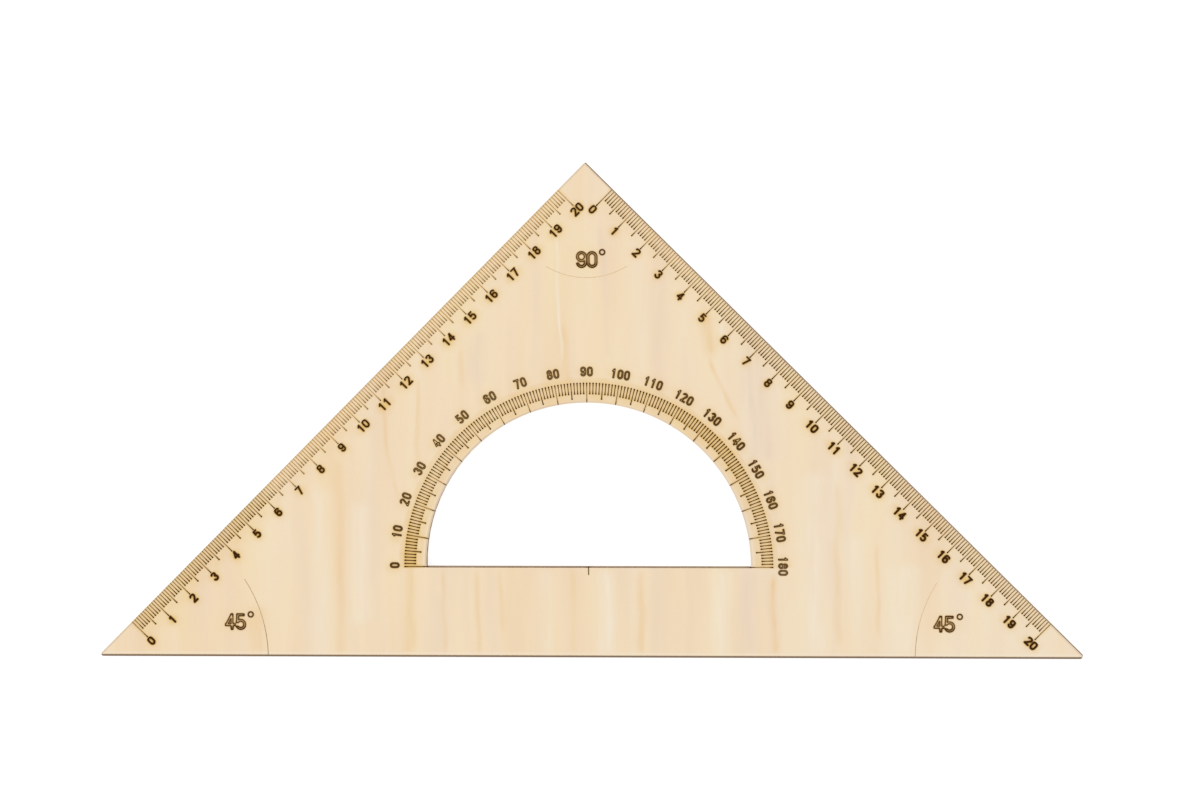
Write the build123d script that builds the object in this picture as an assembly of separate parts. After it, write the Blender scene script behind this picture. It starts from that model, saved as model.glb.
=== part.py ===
from build123d import *
import math
import os

# A laser-cut 45-degree set square of three-ply basswood. It lies flat with its engraved face up.
# X runs along the hypotenuse, Y points at the right-angled corner and Z is the thickness.
# The origin is on the table, below the middle of the bounding box. Lengths are in millimetres.

leg_length = 228.5
right_corner_radius = 0.4
acute_corner_radius = 0.7
face_ply = 0.8
core_ply = 1.2
glue_line = 0.1

sill_width = 29.65
window_radius = 53.05
window_centre_lift = 0.75

engraving_depth = 0.25
scoring_depth = 0.08
line_width = 0.3
burnt_dot_radius = 0.26
graduation_count = 200
apex_margin = 12.5
millimetre_line = 4.0
half_centimetre_line = 6.0
centimetre_line = 7.0
leg_numeral_offset = 8.85

degree_ring_radius = 60.1
degree_line = 3.35
five_degree_line = 4.95
ten_degree_line = 7.4
centre_line = 2.6
degree_numeral_radius = 63.5
degree_numeral_lift = 0.45

# Digit sizes are overall width, height and stroke width, with the pitch of the row.
leg_digits = (1.9, 2.95, 0.5, 2.25)
degree_digits = (1.85, 3.2, 0.6, 2.2)
degree_outline_width = 0.2
angle_digits = (3.25, 5.15, 0.65, 3.45)

# Corner angle labels: digits, centre of the digits, height above the hypotenuse.
outline_width = 0.25
angle_labels = [("90", 0.45, 130.1), ("45", -116.15, 11.4), ("45", 115.8, 11.25)]
degree_sign_offset = (5.05, 2.4)
degree_sign_radius = 0.85
arc_width = 0.25
right_angle_arc = (25.3, 149.5, 31)
# Corner arcs: side, radius, direction of the upper end in degrees.
corner_arcs = [(-1, 46.8, 32.8), (1, 46.0, 32.5)]
corner_arc_start = 0.8
corner_arc_inset = 9.3

hypotenuse = leg_length * math.sqrt(2)
half_length = hypotenuse / 2
base_y = -(half_length - right_corner_radius * (math.sqrt(2) - 1)) / 2
apex_y = base_y + half_length
sill_y = base_y + sill_width
thickness = 2 * face_ply + 2 * glue_line + core_ply


def bar(start, end, width):
    """Straight stroke between two points, with square ends."""
    length = math.dist(start, end)
    angle = math.degrees(math.atan2(end[1] - start[1], end[0] - start[0]))
    middle = ((start[0] + end[0]) / 2, (start[1] + end[1]) / 2)
    return Location((middle[0], middle[1], 0), (0, 0, angle)) * Rectangle(length, width)


def oval(x_radius, y_radius):
    """Circle, or two half circles joined by straight sides."""
    if abs(x_radius - y_radius) < 0.001:
        return Circle(x_radius)
    if x_radius > y_radius:
        return SlotOverall(2 * x_radius, 2 * y_radius)
    return Rot(0, 0, 90) * SlotOverall(2 * y_radius, 2 * x_radius)


def dot(x, y):
    """Round pit where the beam dwelt at the end of a line."""
    return Pos(x, y) * Circle(burnt_dot_radius)


def ring(x, y, x_radius, y_radius, width):
    """Closed oval stroke about a centre."""
    half = width / 2
    return Pos(x, y) * (oval(x_radius + half, y_radius + half) - oval(x_radius - half, y_radius - half))


def block(x_low, y_low, x_high, y_high):
    """Rectangle between two opposite corners."""
    middle = ((x_low + x_high) / 2, (y_low + y_high) / 2)
    return Pos(*middle) * Rectangle(x_high - x_low, y_high - y_low)


def numeral(digit, width, height, stroke):
    """Upright digit centred on the origin, drawn with strokes of one width."""
    half = stroke / 2
    a = width / 2 - half
    b = height / 2 - half
    far = 2 * height
    low_y = -0.46 * b
    high_y = 0.54 * b
    if digit == "0":
        return ring(0, 0, a, b, stroke)
    if digit == "1":
        upright = bar((0.15 * a, -b - half), (0.15 * a, b + half), stroke)
        return upright + bar((0.2 * a, b), (-0.85 * a, 0.45 * b), 0.85 * stroke)
    if digit == "2":
        centre = b - 0.92 * a
        bowl = ring(0, centre, a, 0.92 * a, stroke) - block(-far, -far, 0.35 * a, centre)
        slope = bar((0.74 * a, b - 1.5 * a), (-0.9 * a, -b), stroke)
        return bowl + slope + bar((-a - half, -b), (a + half, -b), stroke)
    if digit == "3":
        bowls = ring(0, high_y, 0.9 * a, 0.46 * b, stroke) + ring(0, low_y, a, 0.54 * b, stroke)
        return bowls - block(-far, low_y, -0.1 * a, high_y)
    if digit == "4":
        upright = bar((0.45 * a, -b - half), (0.45 * a, b + half), stroke)
        crossbar = bar((-a - half, -0.45 * b), (a + half, -0.45 * b), stroke)
        return upright + crossbar + bar((0.42 * a, b), (-0.92 * a, -0.42 * b), stroke)
    if digit == "5":
        bowl = ring(0, -0.4 * b, a, 0.6 * b, stroke) - block(-far, -0.65 * b, -0.5 * a, -0.16 * b)
        back = bar((-0.72 * a, b + half), (-0.86 * a, -0.12 * b), stroke)
        return bowl + back + bar((-0.72 * a, b), (0.9 * a, b), stroke)
    if digit == "7":
        top = bar((-a - half, b), (a + half, b), stroke)
        return top + bar((0.85 * a, b), (-0.35 * a, -b - half), stroke)
    if digit == "8":
        return ring(0, high_y, 0.9 * a, 0.46 * b, stroke) + ring(0, low_y, a, 0.54 * b, stroke)
    back = ring(0, 0, a, b, stroke) - block(0, -far, far, 0.5 * b) - block(-0.1 * a, -far, far, 0)
    six = ring(0, -0.42 * b, a, 0.58 * b, stroke) + back
    return six if digit == "6" else Rot(0, 0, 180) * six


def label(text, glyphs, pitch, x, y, angle):
    """Row of digits centred on a point and turned about it."""
    placed = Location((x, y, 0), (0, 0, angle))
    first = -(len(text) - 1) * pitch / 2
    return [placed * Pos(first + index * pitch, 0) * glyphs[digit]
            for index, digit in enumerate(text)]


def arc_line(x, y, radius, start, end, width):
    """Thin circular line between two directions in degrees."""
    corners = [(x, y)]
    for angle in (start, (start + end) / 2, end):
        corners.append((x + 2 * radius * math.cos(math.radians(angle)),
                        y + 2 * radius * math.sin(math.radians(angle))))
    band = Pos(x, y) * (Circle(radius + width / 2) - Circle(radius - width / 2))
    return band & make_face(Polyline(*corners, close=True))


# The outline is a right-angled isosceles triangle with a round-topped window above the sill.
triangle = make_face(Polyline(
    (-half_length, base_y), (half_length, base_y), (0, apex_y), close=True))
triangle = fillet(triangle.vertices().sort_by(Axis.Y)[-1], right_corner_radius)
acute_corners = triangle.vertices().sort_by(Axis.Y)[:2]
triangle = fillet(acute_corners, acute_corner_radius)
window = Pos(0, sill_y + window_centre_lift) * Circle(window_radius)
window = window & block(-half_length, sill_y, half_length, apex_y)
blank = triangle - window

lines = []
numerals = []

# Millimetre scales run from the left corner up to the apex, and from the apex down to the right.
glyphs = {digit: numeral(digit, *leg_digits[:3]) for digit in "0123456789"}
for side in (-1, 1):
    inward = (-side / math.sqrt(2), -1 / math.sqrt(2))
    for count in range(graduation_count + 1):
        from_apex = apex_margin + (graduation_count - count if side < 0 else count)
        x = side * from_apex / math.sqrt(2)
        y = apex_y - from_apex / math.sqrt(2)
        if count % 10 == 0:
            length = centimetre_line
        elif count % 5 == 0:
            length = half_centimetre_line
        else:
            length = millimetre_line
        end = (x + length * inward[0], y + length * inward[1])
        lines.append(bar((x - inward[0], y - inward[1]), end, line_width) + dot(*end))
        if count % 10 == 0:
            numerals += label(str(count // 10), glyphs, leg_digits[3],
                              x + leg_numeral_offset * inward[0],
                              y + leg_numeral_offset * inward[1], -45 * side)

# The degree scale runs from 0 at the left end of the sill to 180 at the right end, in outlined digits.
# Its ten-degree lines run out into the window.
glyphs = {digit: numeral(digit, *degree_digits[:3]) for digit in "0123456789"}
glyphs = {digit: glyph - offset(glyph, -degree_outline_width) for digit, glyph in glyphs.items()}
for degree in range(181):
    if degree % 10 == 0:
        length = ten_degree_line
    elif degree % 5 == 0:
        length = five_degree_line
    else:
        length = degree_line
    x = -math.cos(math.radians(degree))
    y = math.sin(math.radians(degree))
    inner = degree_ring_radius - length
    start = (inner * x, sill_y + inner * y)
    end = (degree_ring_radius * x, sill_y + degree_ring_radius * y)
    stroke = bar(start, end, line_width) + dot(*end)
    if degree % 10 == 0:
        centre_y = sill_y + degree_numeral_lift
        numerals += label(str(degree), glyphs, degree_digits[3], degree_numeral_radius * x,
                          centre_y + degree_numeral_radius * y, 90 - degree)
    else:
        stroke += dot(*start)
    lines.append(stroke)
lines.append(bar((0, sill_y + 1), (0, sill_y - centre_line), line_width))

# The corner angles are written as outlined digits beside faintly scored arcs.
glyphs = {digit: numeral(digit, *angle_digits[:3]) for digit in "0459"}
glyphs = {digit: offset(glyph, outline_width / 2) - offset(glyph, -outline_width / 2)
          for digit, glyph in glyphs.items()}
labels = []
for text, x, height in angle_labels:
    labels += label(text, glyphs, angle_digits[3], x, base_y + height, 0)
    labels.append(ring(x + degree_sign_offset[0], base_y + height + degree_sign_offset[1],
                       degree_sign_radius, degree_sign_radius, outline_width))
radius, centre_height, spread = right_angle_arc
arcs = [arc_line(0.3, base_y + centre_height, radius, -90 - spread, -90 + spread, arc_width)]
corner_arc_centre = half_length - corner_arc_inset
for side, radius, end in corner_arcs:
    start = corner_arc_start
    if side > 0:
        start, end = 180 - end, 180 - start
    arcs.append(arc_line(side * corner_arc_centre, base_y, radius, start, end, arc_width))

# The plies, from the table upwards.
layers = [
    ("back_veneer", 0, face_ply),
    ("back_glue_line", face_ply, glue_line),
    ("core_veneer", face_ply + glue_line, core_ply),
    ("front_glue_line", face_ply + glue_line + core_ply, glue_line),
    ("front_veneer", thickness - face_ply, face_ply),
]
parts = {}
for name, bottom, depth in layers:
    parts[name] = Pos(0, 0, bottom) * extrude(blank, depth)
for group, depth in ((arcs, scoring_depth), (labels, engraving_depth),
                     (lines, engraving_depth), (numerals, engraving_depth)):
    cutters = []
    for shape in group:
        for face in shape.faces():
            cutters.append(Pos(0, 0, thickness - depth) * extrude(face, 2 * depth))
    parts["front_veneer"] = parts["front_veneer"] - cutters

os.makedirs("parts", exist_ok=True)
for name, shape in parts.items():
    shape.label = name
    export_step(shape, "parts/" + name + ".step")
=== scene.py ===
"""Looks for a laser-cut basswood set square with an engraved protractor window.

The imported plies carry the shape, every engraved groove included. This script gives them wood, char
and glue, and adds the camera, the lights and a white floor. Pattern lengths are in millimetres.
"""
import math

import bpy
from mathutils import Euler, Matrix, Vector


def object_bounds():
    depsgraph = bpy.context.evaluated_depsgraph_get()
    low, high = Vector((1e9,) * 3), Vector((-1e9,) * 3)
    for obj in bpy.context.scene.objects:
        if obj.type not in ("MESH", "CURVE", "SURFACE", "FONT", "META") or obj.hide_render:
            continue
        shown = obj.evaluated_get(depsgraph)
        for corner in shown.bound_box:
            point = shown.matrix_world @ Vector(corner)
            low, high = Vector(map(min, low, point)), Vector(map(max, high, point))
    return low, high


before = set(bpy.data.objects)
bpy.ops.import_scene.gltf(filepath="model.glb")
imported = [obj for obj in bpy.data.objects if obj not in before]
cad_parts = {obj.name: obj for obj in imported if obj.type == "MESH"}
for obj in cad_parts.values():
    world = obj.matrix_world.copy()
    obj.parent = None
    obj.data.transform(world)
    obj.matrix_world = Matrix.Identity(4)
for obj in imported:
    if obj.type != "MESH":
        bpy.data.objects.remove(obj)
cad_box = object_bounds()

# The sheet, in millimetres in the row frame.
LOW, HIGH = cad_box
BASE_Y = LOW[1] * 1000
TOP_Z = HIGH[2] * 1000
CORNER_RADIUS = 0.4
APEX_Y = HIGH[1] * 1000 + CORNER_RADIUS * (math.sqrt(2) - 1)
SILL_Y = BASE_Y + 29.65
WINDOW_RADIUS = 53.05
WINDOW_CENTRE_Y = SILL_Y + 0.75
APEX_MARGIN = 12.5
SCALE_LENGTH = 200.0
RING_RADIUS = 60.1

# Where the marks lie: distances in from the legs, and radii about the degree scale's centre.
LEG_LINES = 7.4
LEG_NUMERALS = (7.5, 11.4)
LEG_NUMERAL_MIDDLE = 9.0
DIAL_LINES = (52.6, 61.0)
DIAL_FIVE_ENDS = (54.7, 55.6)
DIAL_NUMERALS = (61.3, 66.4)
DIAL_NUMERAL_MIDDLE = 63.8
NUMERAL_OVERHANG = 3.5
LABEL_SPOTS = ((1.3, 49.9), (-115.2, -69.1), (117.0, -69.1))
LABEL_HALF = (6.2, 3.9)
DEGREE_SIGN_CORNER = (3.0, 0.7)
CENTRE_LINE = (0.8, 3.2)
HALO_REACH = 0.62
ENGRAVED_BELOW = TOP_Z - 0.004

# Surface colours, as sRGB bytes seen under the scene's light.
WOOD = (240, 218, 187)
WOOD_YELLOW = (237, 207, 165)
WOOD_PALE = (241, 228, 206)
WOOD_LILAC = (231, 209, 187)
WOOD_STRAW = (242, 224, 184)
WOOD_AMBER = (233, 198, 148)
SCORCH = (229, 193, 124)
GOLD = (214, 170, 80)
TOAST = (184, 136, 24)
RIM = (106, 82, 64)
CHAR = (58, 31, 4)
CHAR_BROWN = (98, 60, 6)
LINE_LIGHT = (226, 188, 120)
SCORED_LIGHT = (232, 206, 166)
EDGE_LIGHT = (206, 177, 144)
EDGE_BROWN = (160, 128, 98)
EDGE_DARK = (100, 75, 54)
GLUE_BLACK = (48, 32, 22)

# Share of each colour that goes into the albedo, so that the lit wood comes out as listed.
EXPOSURE = 0.91


def colour(rgb):
    """Linear albedo for an sRGB colour."""
    linear = []
    for byte in rgb:
        value = byte / 255
        value = value / 12.92 if value <= 0.04045 else ((value + 0.055) / 1.055) ** 2.4
        linear.append(value * EXPOSURE)
    return (*linear, 1.0)


class Graph:
    """Short calls that build one material's nodes."""

    def __init__(self, name):
        self.material = bpy.data.materials.new(name)
        self.material.use_nodes = True
        self.tree = self.material.node_tree
        self.tree.nodes.clear()

    def node(self, kind, **settings):
        made = self.tree.nodes.new(kind)
        for key, value in settings.items():
            setattr(made, key, value)
        return made

    def feed(self, socket, value):
        if isinstance(value, bpy.types.NodeSocket):
            self.tree.links.new(value, socket)
        else:
            socket.default_value = value

    def math(self, operation, *values, clamp=False):
        made = self.node("ShaderNodeMath", operation=operation, use_clamp=clamp)
        for socket, value in zip(made.inputs, values):
            self.feed(socket, value)
        return made.outputs[0]

    def add(self, *values):
        total = values[0]
        for value in values[1:]:
            total = self.math("ADD", total, value)
        return total

    def times(self, *values):
        total = values[0]
        for value in values[1:]:
            total = self.math("MULTIPLY", total, value)
        return total

    def less(self, a, b):
        return self.math("SUBTRACT", a, b)

    def weigh(self, *terms):
        """Sum of terms, where a term in brackets is a product."""
        total = None
        for term in terms:
            value = self.times(*term) if isinstance(term, tuple) else term
            total = value if total is None else self.add(total, value)
        return total

    def size(self, value):
        return self.math("ABSOLUTE", value)

    def nearer(self, a, b):
        return self.math("MINIMUM", a, b)

    def invert(self, value):
        return self.math("SUBTRACT", 1.0, value)

    def peak(self, *values):
        total = values[0]
        for value in values[1:]:
            total = self.math("MAXIMUM", total, value)
        return total

    def rise(self, value, low, high):
        """0 below low, 1 above high, smooth between."""
        made = self.node("ShaderNodeMapRange", interpolation_type="SMOOTHSTEP")
        self.feed(made.inputs["Value"], value)
        self.feed(made.inputs["From Min"], low)
        self.feed(made.inputs["From Max"], high)
        return made.outputs["Result"]

    def fall(self, value, low, high):
        return self.invert(self.rise(value, low, high))

    def band(self, value, low, high, soft):
        """1 between low and high, fading over soft on both sides."""
        return self.times(self.rise(value, low - soft, low), self.fall(value, high, high + soft))

    def bell(self, value, width):
        """Bell curve of a distance."""
        ratio = self.math("DIVIDE", value, width)
        return self.math("EXPONENT", self.times(ratio, ratio, -1.0))

    def blob(self, dx, dy):
        """Soft spot with scaled distances dx and dy."""
        return self.math("EXPONENT", self.times(self.add(self.times(dx, dx), self.times(dy, dy)), -1.0))

    def point(self, x, y, z=0.0):
        made = self.node("ShaderNodeCombineXYZ")
        for socket, value in zip(made.inputs, (x, y, z)):
            self.feed(socket, value)
        return made.outputs[0]

    def noise(self, vector, detail=2.0, roughness=0.5):
        made = self.node("ShaderNodeTexNoise", noise_dimensions="3D")
        self.feed(made.inputs["Vector"], vector)
        made.inputs["Scale"].default_value = 1.0
        made.inputs["Detail"].default_value = detail
        made.inputs["Roughness"].default_value = roughness
        return made.outputs["Fac"]

    def stretched(self, x_scale, y_scale, seed, detail=2.0, roughness=0.5):
        """Noise about zero, of a period per millimetre along X and along Y."""
        vector = self.point(self.times(self.x, x_scale), self.times(self.y, y_scale), seed)
        return self.less(self.noise(vector, detail, roughness), 0.5)

    def mix(self, factor, a, b, blend="MIX"):
        made = self.node("ShaderNodeMix", data_type="RGBA", blend_type=blend)
        made.clamp_factor = True
        self.feed(made.inputs[0], factor)
        self.feed(made.inputs[6], a)
        self.feed(made.inputs[7], b)
        return made.outputs[2]

    def place(self):
        """Position in millimetres, and the surface's slope."""
        spot = self.node("ShaderNodeTexCoord").outputs["Object"]
        scaled = self.node("ShaderNodeVectorMath", operation="SCALE")
        self.feed(scaled.inputs[0], spot)
        scaled.inputs["Scale"].default_value = 1000.0
        split = self.node("ShaderNodeSeparateXYZ")
        self.feed(split.inputs[0], scaled.outputs[0])
        self.x, self.y, self.z = split.outputs
        normal = self.node("ShaderNodeSeparateXYZ")
        self.feed(normal.inputs[0], self.node("ShaderNodeNewGeometry").outputs["True Normal"])
        self.upright = self.math("LESS_THAN", self.size(normal.outputs[2]), 0.5)

    def burn_halo(self, reach_mm):
        """1 beside a groove or a cut, 0 beyond its reach: how far heat spread under the surface."""
        probe = self.node("ShaderNodeAmbientOcclusion", inside=True, only_local=True, samples=12)
        probe.inputs["Distance"].default_value = reach_mm / 1000
        return self.invert(probe.outputs["AO"])

    def surface(self, base, roughness, height, depth_mm, specular):
        """One Principled shader with a bump given as a height from 0 to 1."""
        bump = self.node("ShaderNodeBump")
        bump.inputs["Strength"].default_value = 1.0
        bump.inputs["Distance"].default_value = depth_mm / 1000
        self.feed(bump.inputs["Height"], height)
        shader = self.node("ShaderNodeBsdfPrincipled")
        self.feed(shader.inputs["Base Color"], base)
        self.feed(shader.inputs["Roughness"], roughness)
        shader.inputs["Specular IOR Level"].default_value = specular
        self.feed(shader.inputs["Normal"], bump.outputs[0])
        output = self.node("ShaderNodeOutputMaterial")
        self.feed(output.inputs[0], shader.outputs[0])
        return self.material


def wood(graph, seed):
    """Basswood face grain along Y: returns its colour, its height and its roughness."""
    g = graph
    true_x = g.x
    g.x = g.add(g.x, g.times(g.stretched(0.03, 0.02, seed + 1.0, 1.0), 9.0))
    broad = g.times(g.stretched(0.03, 0.008, seed + 2.0, 1.0), 26.0)
    bands = g.times(g.stretched(0.08, 0.009, seed + 3.0, 1.0), 28.0)
    streaks = g.times(g.stretched(0.22, 0.012, seed + 4.0, 1.0), 15.0)
    threads = g.times(g.stretched(0.7, 0.02, seed + 5.0, 2.0), 5.5)
    fibres = g.stretched(3.0, 0.12, seed + 6.0, 2.0, 0.6)
    flecks = g.stretched(4.5, 0.6, seed + 7.0, 1.0)
    hue = g.times(g.stretched(0.11, 0.012, seed + 8.0, 2.0), 5.5)
    g.x = true_x
    drift = g.add(g.times(g.rise(g.x, 0.0, 90.0), 9.0), g.times(g.rise(g.y, -10.0, 20.0), 4.0), -3.5)
    tone = g.add(drift, broad, bands, streaks, threads, g.times(fibres, 9.0))
    shade = g.mix(g.times(tone, -1 / 24.0), colour(WOOD), colour(WOOD_YELLOW))
    shade = g.mix(g.times(tone, 1 / 24.0), shade, colour(WOOD_PALE))
    shade = g.mix(g.times(hue, 0.4), shade, colour(WOOD_LILAC))
    shade = g.mix(g.times(hue, -0.4), shade, colour(WOOD_STRAW))
    shade = g.mix(g.times(g.rise(flecks, 0.1, 0.26), 0.16), shade, colour(WOOD_AMBER))
    height = g.add(g.times(fibres, 0.6), g.times(flecks, -0.4), 0.5)
    roughness = g.add(g.times(fibres, 0.3), 0.58)
    return shade, height, roughness


# Grain features of the face that stand out: x, low y, high y, lean in x per y, half width, strength.
AMBER_STREAKS = [
    (-81.3, -80, -16, 0.0, 1.7, 0.3), (-58.5, -80, -48, 0.01, 1.6, 0.5), (-47.5, -80, -52, 0.0, 0.8, 0.3),
    (-36.5, -80, -52, 0.01, 1.0, 0.45), (-28.5, -72, -52, 0.0, 0.7, 0.3), (-5.0, -80, -52, 0.0, 1.0, 0.3),
    (17.0, -80, -52, 0.01, 1.5, 0.45), (60.5, -80, -54, -0.04, 1.1, 0.6), (94.5, -74, -44, 0.0, 0.7, 0.4),
    (39.5, 18, 33, -0.2, 2.2, 0.55), (44.5, -2, 17, -0.42, 0.8, 0.5), (-7.0, 8, 28, -0.02, 1.1, 0.45),
    (-55.0, -16, 10, 0.0, 0.8, 0.4), (-65.0, -28, 9, -0.12, 0.7, 0.35), (-41.0, 8, 20, 0.0, 1.0, 0.25),
    (-108.0, -80, -64, 0.0, 3.0, 0.4), (81.5, -76, -24, 0.0, 1.3, 0.27),
]
PALE_STREAKS = [
    (-88.0, -80, -25, 0.0, 3.0, 0.45), (-75.0, -70, -30, 0.0, 3.0, 0.5), (-13.0, -80, -52, 0.0, 2.5, 0.35),
    (6.0, -80, -52, 0.0, 2.8, 0.6), (43.0, -80, -52, 0.0, 3.2, 0.55), (73.5, -80, -20, 0.0, 4.0, 0.5),
    (88.0, -80, -40, 0.0, 3.0, 0.4), (103.0, -80, -50, 0.0, 5.0, 0.5), (-8.9, 17, 60, -0.04, 0.45, 0.75),
    (43.8, 22, 33, -0.1, 0.9, 0.6),
]
LILAC_STREAKS = [
    (51.5, -80, -52, 0.0, 3.0, 0.55), (55.0, -16, 28, -0.1, 4.0, 0.6), (-36.0, 9, 26, 0.0, 3.0, 0.4),
    (6.2, 18, 60, -0.06, 1.0, 0.45), (-49.0, -80, -60, 0.0, 2.0, 0.3),
]


def streaked(graph, shade):
    """Adds the listed grain features."""
    g = graph
    sway = g.times(g.stretched(0.02, 0.05, 71.0, 1.0), 3.5)
    flicker = g.add(g.times(g.stretched(0.4, 0.05, 72.0, 2.0), 2.6), 1.0)
    tints = ((PALE_STREAKS, WOOD_PALE), (LILAC_STREAKS, WOOD_LILAC), (AMBER_STREAKS, WOOD_AMBER))
    for features, tint in tints:
        total = 0.0
        for x, low, high, lean, half_width, strength in features:
            middle = g.times(g.less(g.y, (low + high) / 2), lean)
            away = g.less(g.add(g.x, sway), g.add(middle, x))
            reach = g.band(g.y, low + 3, high - 3, 5.0)
            total = g.add(total, g.times(g.bell(away, half_width), reach, strength))
        shade = g.mix(g.times(total, flicker), shade, colour(tint))
    return shade


def burnt_edge(graph, light, dark):
    """Laser-cut side of one ply: char with fine upright streaks."""
    g = graph
    along = g.add(g.times(g.x, 0.8), g.times(g.y, 1.1))
    fine = g.noise(g.point(g.times(along, 3.0), g.times(g.z, 0.35), 3.1), 3.0, 0.7)
    slow = g.noise(g.point(g.times(along, 0.12), g.z, 8.7), 2.0)
    amount = g.add(g.times(g.less(fine, 0.5), 1.6), g.times(g.less(slow, 0.5), 1.4), 0.5)
    return g.mix(g.math("ADD", amount, 0.0, clamp=True), colour(dark), colour(light)), fine


class Face(Graph):
    """A face of the sheet: places on it, and masks of the marks on its front."""

    def find_legs(self):
        """Distances in from the legs and the hypotenuse, and along the legs from the scale's top mark."""
        self.side = self.size(self.x)
        drop = self.less(APEX_Y, self.y)
        self.inset = self.times(self.less(drop, self.side), math.sqrt(0.5))
        self.along = self.less(self.times(self.add(drop, self.side), math.sqrt(0.5)), APEX_MARGIN)
        self.to_base = self.less(self.y, BASE_Y)
        self.right = self.math("GREATER_THAN", self.x, 0.0)
        self.left = self.invert(self.right)

    def find_window(self):
        """Distances from the window's arc and sill, and polar places about the degree scale's centre."""
        self.up = self.less(self.y, SILL_Y)
        self.dial = self.math("SQRT", self.weigh((self.x, self.x), (self.up, self.up)))
        self.degrees = self.times(self.math("ARCTAN2", self.up, self.times(self.x, -1.0)), 180 / math.pi)
        self.above_sill = self.rise(self.up, -0.02, 0.02)
        rise = self.less(self.y, WINDOW_CENTRE_Y)
        radius = self.math("SQRT", self.weigh((self.x, self.x), (rise, rise)))
        self.beyond_arc = self.size(self.less(radius, WINDOW_RADIUS))
        self.below_sill = self.peak(self.less(0.0, self.up), self.less(self.side, WINDOW_RADIUS))
        to_window = self.weigh((self.beyond_arc, self.above_sill),
                               (self.below_sill, self.invert(self.above_sill)))
        self.to_edge = self.nearer(self.inset, self.nearer(self.to_base, to_window))

    def find_marks(self):
        """Places along the scales, and one mask for each group of marks."""
        arc_mm = RING_RADIUS * math.pi / 180
        self.to_ten_degrees = self.times(self.math("PINGPONG", self.degrees, 5.0), arc_mm)
        self.between_tens = self.rise(self.to_ten_degrees, 0.35, 0.5)
        self.to_five = self.math("PINGPONG", self.along, 2.5)
        self.to_ten = self.math("PINGPONG", self.along, 5.0)
        self.on_leg = self.band(self.along, -0.5, SCALE_LENGTH + 0.5, 0.8)
        self.by_numerals = self.band(self.along, -NUMERAL_OVERHANG, SCALE_LENGTH + NUMERAL_OVERHANG, 0.5)

        self.leg_lines = self.times(self.fall(self.inset, LEG_LINES - 0.1, LEG_LINES + 0.1),
                                    self.band(self.along, -0.7, SCALE_LENGTH + 0.7, 0.2))
        self.leg_numerals = self.times(self.band(self.inset, *LEG_NUMERALS, 0.1), self.by_numerals)
        self.dial_lines = self.times(self.band(self.dial, *DIAL_LINES, 0.1), self.rise(self.up, -0.4, -0.3))
        self.dial_numerals = self.times(self.band(self.dial, *DIAL_NUMERALS, 0.1),
                                        self.rise(self.up, -4.5, -4.4))
        half_width, depth = CENTRE_LINE
        self.centre_line = self.times(self.fall(self.side, half_width, half_width + 0.1),
                                      self.band(self.up, -depth, 0.0, 0.1))
        self.find_labels()

    def find_labels(self):
        """The angle labels: their numeral strokes, those strokes' upper and lower ends, and the signs."""
        half_x, half_y = LABEL_HALF
        sign_x, sign_y = DEGREE_SIGN_CORNER
        self.labels = 0.0
        self.label_glow = 0.0
        self.degree_signs = 0.0
        ends = 0.0
        for spot_x, spot_y in LABEL_SPOTS:
            dx = self.less(self.x, spot_x)
            dy = self.less(self.y, spot_y)
            inside = self.times(self.fall(self.size(dx), half_x, half_x + 0.1),
                                self.fall(self.size(dy), half_y, half_y + 0.1))
            beyond = self.times(self.rise(dx, sign_x, sign_x + 0.1), self.rise(dy, sign_y, sign_y + 0.1))
            self.labels = self.peak(self.labels, inside)
            self.degree_signs = self.peak(self.degree_signs, self.times(inside, beyond))
            ends = self.peak(ends, self.times(inside, self.rise(self.size(dy), 1.1, 2.3)))
            glow = self.blob(self.times(dx, 1 / 5.5), self.times(dy, 1 / 3.6))
            self.label_glow = self.peak(self.label_glow, glow)
        self.label_strokes = self.less(self.labels, self.degree_signs)
        self.label_ends = self.times(ends, self.label_strokes)

    def find_burns(self):
        """Stretches of each scale that the beam burnt harder, and the ends of lines, where it dwelt."""
        self.left_foot = self.times(self.rise(self.along, 133.0, 143.0), self.left, self.on_leg)
        lower_right = self.bell(self.less(self.along, 110.0), 40.0)
        upper_right = self.bell(self.less(self.along, 28.0), 20.0)
        self.right_burn = self.times(self.weigh((lower_right, 0.4), (upper_right, -0.7), 1.0), self.right)
        self.foot_burn = self.bell(self.less(self.degrees, 2.0), 15.0)
        self.ring_burn = self.weigh((self.foot_burn, 0.8), (self.rise(self.degrees, 82.0, 104.0), 0.3),
                                    (self.bell(self.less(self.degrees, 138.0), 18.0), 0.45))

        line_length = self.weigh((self.fall(self.to_five, 0.5, 0.6), 2.0),
                                 self.fall(self.to_ten, 0.5, 0.6), 4.0)
        self.leg_tip = self.fall(self.less(line_length, self.inset), 0.6, 2.0)
        inner_ends = self.times(self.band(self.dial, 54.8, 57.2, 0.6), self.between_tens)
        self.dial_tip = self.peak(self.fall(self.beyond_arc, 0.6, 1.6), self.rise(self.dial, 58.8, 59.6),
                                  inner_ends)


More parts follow.
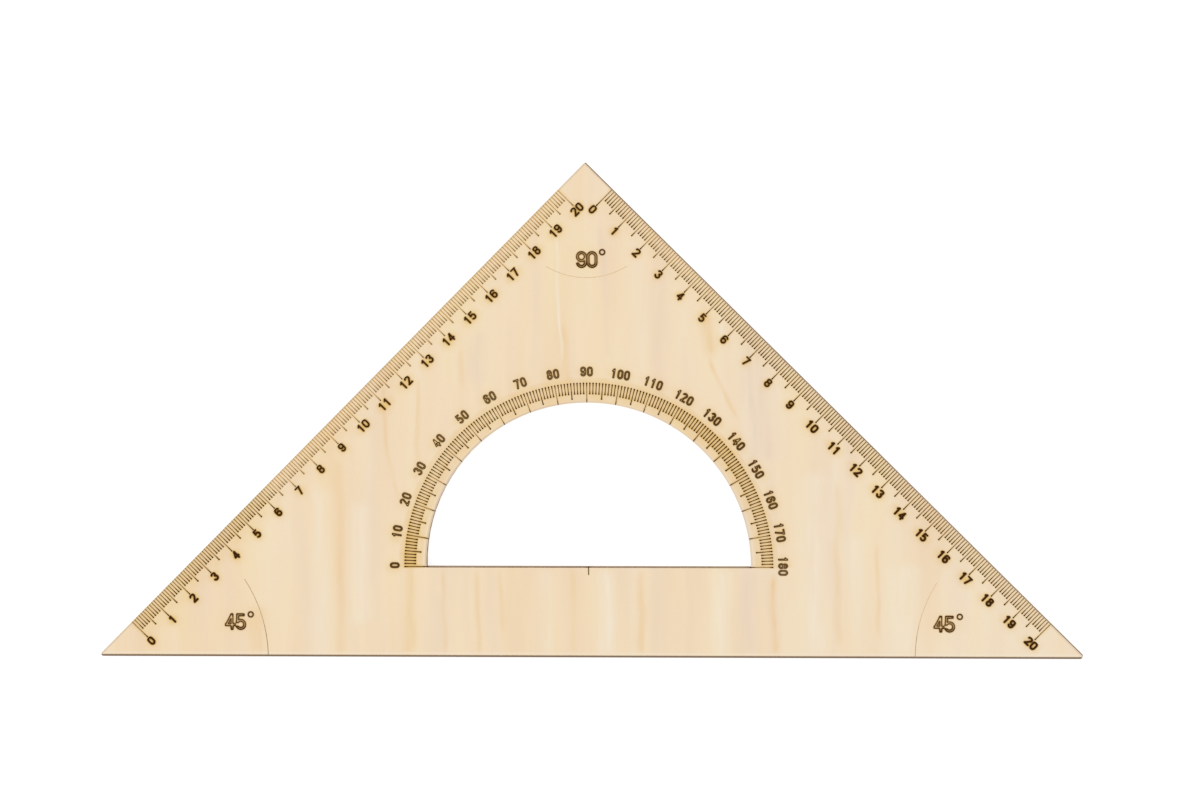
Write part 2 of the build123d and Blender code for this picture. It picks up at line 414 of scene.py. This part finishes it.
def heat_stain(g):
    """How far heat yellowed the wood around the scales, from 0 to 1."""
    leg = g.weigh((g.fall(g.inset, 3.6, 5.2), 0.18), (g.fall(g.inset, 5.5, 8.5), 0.17))
    line_ends = g.peak(g.times(g.bell(g.to_five, 0.7), g.fall(g.inset, 5.6, 7.0)),
                       g.times(g.bell(g.to_ten, 0.7), g.fall(g.inset, 6.8, 8.2)))
    stain = g.times(g.peak(leg, g.times(line_ends, 0.5)), g.on_leg)

    # Each numeral's glow is wider where the numeral has more digits.
    count = g.size(g.less(g.times(g.left, SCALE_LENGTH), g.along))
    two_digits = g.rise(count, 94.0, 96.0)
    glow = g.blob(g.math("DIVIDE", g.to_ten, g.add(two_digits, 1.7)),
                  g.times(g.less(g.inset, LEG_NUMERAL_MIDDLE), 0.5))
    glow_strength = g.weigh((two_digits, 0.25), (g.left_foot, 0.25), 0.85)
    stain = g.peak(stain, g.times(glow, g.by_numerals, glow_strength))
    stain = g.weigh(stain, (g.left_foot, g.fall(g.inset, 7.0, 10.5), 0.16))

    ring = g.times(g.rise(g.up, -1.0, 0.0), g.weigh((g.ring_burn, 0.45), 1.0))
    stain = g.peak(stain, g.times(g.band(g.dial, 55.0, 61.4, 1.2), ring, 0.42))
    stain = g.peak(stain, g.times(g.band(g.dial, 56.2, 60.8, 0.6), ring, 0.56))
    half = g.add(g.rise(g.degrees, 4.0, 6.0), g.rise(g.degrees, 94.0, 96.0), 1.7)
    glow = g.blob(g.math("DIVIDE", g.to_ten_degrees, half),
                  g.times(g.less(g.dial, DIAL_NUMERAL_MIDDLE), 0.45))
    glow_strength = g.weigh((g.ring_burn, 0.3), 0.6)
    stain = g.peak(stain, g.times(glow, g.band(g.degrees, -4.0, 184.0, 1.0), glow_strength))
    stain = g.peak(stain, g.times(g.label_glow, 0.3))
    patchy = g.weigh((g.stretched(0.35, 0.35, 31.0, 2.0), 1.6), 1.0)
    return g.times(stain, patchy, 0.75)


def scorched_margins(g, shade):
    """Gold, toasted and charred wood right beside the grooves, by how hard each group was burnt."""
    heat = g.times(g.burn_halo(HALO_REACH), g.rise(g.to_edge, 0.3, 0.6))
    gold = g.weigh((g.leg_numerals, 0.9), (g.dial_numerals, 0.3), (g.label_strokes, 0.6),
                   (g.degree_signs, 0.45), (g.centre_line, 0.3),
                   (g.dial_lines, g.weigh((g.ring_burn, 0.45), (g.foot_burn, 0.2), 0.06)),
                   (g.leg_lines, g.weigh((g.left_foot, 0.1), (g.right_burn, 0.08))))
    shade = g.mix(g.times(g.rise(heat, 0.02, 0.22), gold, 0.85), shade, colour(GOLD))
    leg_toast = g.weigh((g.leg_tip, 0.25), (g.right_burn, 0.09), (g.left_foot, 0.18))
    dial_toast = g.weigh((g.dial_tip, 0.3), (g.ring_burn, 0.35), 0.08)
    toast = g.weigh((g.leg_lines, leg_toast), (g.dial_lines, dial_toast), (g.dial_numerals, 0.3))
    shade = g.mix(g.times(g.rise(heat, 0.12, 0.36), toast), shade, colour(TOAST))
    hard_numerals = g.peak(g.times(g.right, g.rise(g.along, 84.0, 96.0)), g.left_foot)
    bleed = g.weigh((g.leg_numerals, g.weigh((hard_numerals, 0.3), 0.65)),
                    (g.dial_numerals, g.weigh((g.ring_burn, 0.3), 0.1)), (g.label_strokes, 0.2),
                    (g.label_ends, 0.25), (g.degree_signs, 0.9))
    shade = g.mix(g.times(g.rise(heat, 0.1, 0.36), bleed), shade, colour(CHAR_BROWN))

    # The strip between an outlined character's two grooves took heat from both.
    dial_cores = g.times(g.rise(heat, 0.42, 0.58), g.dial_numerals, g.weigh((g.ring_burn, 0.3), 0.8))
    label_cores = g.times(g.rise(heat, 0.27, 0.39), g.weigh((g.label_strokes, 0.78), (g.label_ends, 0.2)))
    return g.mix(g.peak(dial_cores, label_cores), shade, colour(CHAR_BROWN))


def browned_arris(g, shade):
    """Brown arris along each cut, strongest on the two level cuts, with a pale strip inside the lower."""
    ragged = g.times(g.stretched(1.3, 1.3, 51.0, 3.0, 0.7), 0.22)
    base = g.times(g.fall(g.add(g.to_base, ragged), 0.48, 0.78), 0.9)
    sill = g.times(g.fall(g.add(g.below_sill, ragged), 0.14, 0.36), g.invert(g.above_sill))
    legs = g.times(g.fall(g.add(g.inset, ragged), 0.25, 0.75), g.less(0.24, g.times(g.right, 0.12)))
    arc_strength = g.weigh((g.fall(g.degrees, 40.0, 110.0), 0.14), 0.12)
    arc = g.times(g.fall(g.add(g.beyond_arc, ragged), 0.3, 0.8), g.above_sill, arc_strength)
    shade = g.mix(g.times(g.band(g.to_base, 1.05, 1.4, 0.25), 0.5), shade, colour(WOOD_PALE))
    return g.mix(g.peak(base, sill, legs, arc), shade, colour(RIM))


def groove_char(g):
    """Colour inside the grooves, from lightly browned wood to black char."""
    leg_ends = g.weigh((g.right_burn, 0.25), (g.left_foot, 0.25), 0.22)
    leg = g.weigh((g.leg_tip, leg_ends), (g.right_burn, 0.24), (g.left_foot, 0.22), 0.04)
    five_ends = g.times(g.band(g.dial, *DIAL_FIVE_ENDS, 0.2), g.between_tens)
    dial = g.weigh((g.between_tens, 0.15), (g.dial_tip, 0.4), five_ends, (g.ring_burn, 0.3), 0.15)
    strength = g.weigh((g.leg_lines, leg), g.leg_numerals, (g.dial_lines, dial), (g.dial_numerals, 1.15),
                       (g.labels, 0.45), (g.label_ends, 0.5), (g.degree_signs, 0.5), (g.centre_line, 0.8))

    # Grooves in no group of marks are the three lightly scored corner arcs.
    marked = g.peak(g.leg_lines, g.leg_numerals, g.dial_lines, g.dial_numerals, g.labels, g.centre_line)
    arcs = g.invert(g.math("ADD", marked, 0.0, clamp=True))
    arc_burn = g.weigh((g.left, 0.15), (g.fall(g.to_base, 6.0, 14.0), 0.15))
    strength = g.weigh(strength, (arcs, arc_burn, g.fall(g.to_base, 60.0, 70.0)))

    uneven = g.weigh((g.stretched(0.9, 0.9, 61.0, 3.0, 0.7), 0.9), 1.0)
    strength = g.times(strength, uneven, 2.0)
    char = g.mix(arcs, colour(LINE_LIGHT), colour(SCORED_LIGHT))
    char = g.mix(strength, char, colour(CHAR_BROWN))
    return g.mix(g.less(strength, 1.0), char, colour(CHAR))


def front_material():
    g = Face("engraved_basswood")
    g.place()
    g.find_legs()
    g.find_window()
    g.find_marks()
    g.find_burns()
    shade, height, roughness = wood(g, 10.0)
    shade = streaked(g, shade)
    shade = g.mix(heat_stain(g), shade, colour(SCORCH))
    shade = scorched_margins(g, shade)
    shade = browned_arris(g, shade)
    engraved = g.math("LESS_THAN", g.z, ENGRAVED_BELOW)
    shade = g.mix(engraved, shade, groove_char(g))
    roughness = g.weigh((engraved, 0.25), roughness)

    outer = g.times(g.upright, g.math("LESS_THAN", g.to_edge, 0.02))
    cut, streaks = burnt_edge(g, EDGE_LIGHT, EDGE_BROWN)
    shade = g.mix(outer, shade, cut)
    height = g.weigh(height, (outer, g.less(streaks, 0.5), 0.8))
    return g.surface(shade, roughness, height, 0.02, 0.1)


def back_material():
    g = Face("plain_basswood")
    g.place()
    g.find_legs()
    shade, height, roughness = wood(g, 40.0)
    patchy = g.weigh((g.stretched(0.2, 0.2, 33.0, 3.0), 1.6), 0.8)
    smoke = g.peak(g.bell(g.inset, 1.4), g.bell(g.to_base, 1.4))
    shade = g.mix(g.times(smoke, patchy, 0.55), shade, colour(SCORCH))
    cut, streaks = burnt_edge(g, EDGE_LIGHT, EDGE_BROWN)
    shade = g.mix(g.upright, shade, cut)
    height = g.weigh(height, (g.upright, g.less(streaks, 0.5), 0.8))
    return g.surface(shade, roughness, height, 0.02, 0.1)


def core_material():
    g = Graph("burnt_core_ply")
    g.place()
    cut, streaks = burnt_edge(g, EDGE_BROWN, EDGE_DARK)
    pores = g.noise(g.point(g.times(g.x, 5.0), g.times(g.y, 5.0), g.times(g.z, 5.0)), 2.0, 0.6)
    cut = g.mix(g.times(g.rise(pores, 0.56, 0.68), 0.7), cut, colour(GLUE_BLACK))
    roughness = g.add(g.times(streaks, 0.15), 0.78)
    return g.surface(cut, roughness, g.add(streaks, g.times(pores, -0.5)), 0.03, 0.1)


def glue_material():
    g = Graph("charred_glue")
    g.place()
    beads = g.noise(g.point(g.times(g.x, 1.6), g.times(g.y, 1.6), g.times(g.z, 2.0)), 2.0, 0.6)
    shade = g.mix(g.rise(beads, 0.4, 0.65), colour(GLUE_BLACK), colour(EDGE_DARK))
    return g.surface(shade, g.add(g.times(beads, 0.3), 0.35), beads, 0.02, 0.4)


def paint(node, material):
    """Gives a packed ply its material."""
    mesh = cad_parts[node].data
    mesh.materials.clear()
    mesh.materials.append(material)


paint("front_veneer", front_material())
paint("back_veneer", back_material())
paint("core_veneer", core_material())
glue = glue_material()
paint("front_glue_line", glue)
paint("back_glue_line", glue)


def make_floor():
    """White table under the sheet."""
    half = 6.0
    mesh = bpy.data.meshes.new("floor")
    corners = [(-half, -half, 0), (half, -half, 0), (half, half, 0), (-half, half, 0)]
    mesh.from_pydata(corners, [], [(0, 1, 2, 3)])
    floor = bpy.data.objects.new("floor", mesh)
    floor.location.z = LOW[2] - 0.00005
    bpy.context.scene.collection.objects.link(floor)
    white = bpy.data.materials.new("white_table")
    white.use_nodes = True
    shader = white.node_tree.nodes["Principled BSDF"]
    shader.inputs["Base Color"].default_value = (0.3, 0.3, 0.3, 1)
    shader.inputs["Emission Color"].default_value = (1, 1, 1, 1)
    shader.inputs["Emission Strength"].default_value = 0.8
    shader.inputs["Roughness"].default_value = 0.9
    shader.inputs["Specular IOR Level"].default_value = 0.0
    mesh.materials.append(white)


def area_light(name, location, size, watts):
    """Square softbox aimed at the middle of the sheet."""
    data = bpy.data.lights.new(name, "AREA")
    data.shape = "SQUARE"
    data.size = size
    data.energy = watts
    light = bpy.data.objects.new(name, data)
    light.location = location
    light.rotation_euler = Vector(location).to_track_quat("Z", "Y").to_euler()
    bpy.context.scene.collection.objects.link(light)


make_floor()
area_light("key_softbox", (-1.4, 1.2, 2.4), 1.6, 14)

world = bpy.data.worlds.new("studio")
bpy.context.scene.world = world
world.use_nodes = True
backdrop = world.node_tree.nodes["Background"]
backdrop.inputs["Color"].default_value = (1, 1, 1, 1)
backdrop.inputs["Strength"].default_value = 1.0

# A long lens high above the sheet, leaning a little towards its right and upper sides.
CAMERA_TARGET = Vector((0.0043, 0.0036, 0.003))
CAMERA_DISTANCE = 3.352
CAMERA_TURN = (-6.17, 5.86, -0.59)
CAMERA_LENS = 309.7
turn = Euler([math.radians(angle) for angle in CAMERA_TURN])
lens = bpy.data.cameras.new("camera")
lens.lens = CAMERA_LENS
lens.sensor_width = 36
camera = bpy.data.objects.new("camera", lens)
camera.rotation_euler = turn
camera.location = CAMERA_TARGET + turn.to_matrix() @ Vector((0, 0, CAMERA_DISTANCE))
bpy.context.scene.collection.objects.link(camera)
bpy.context.scene.camera = camera
bpy.context.scene.view_settings.view_transform = "Standard"
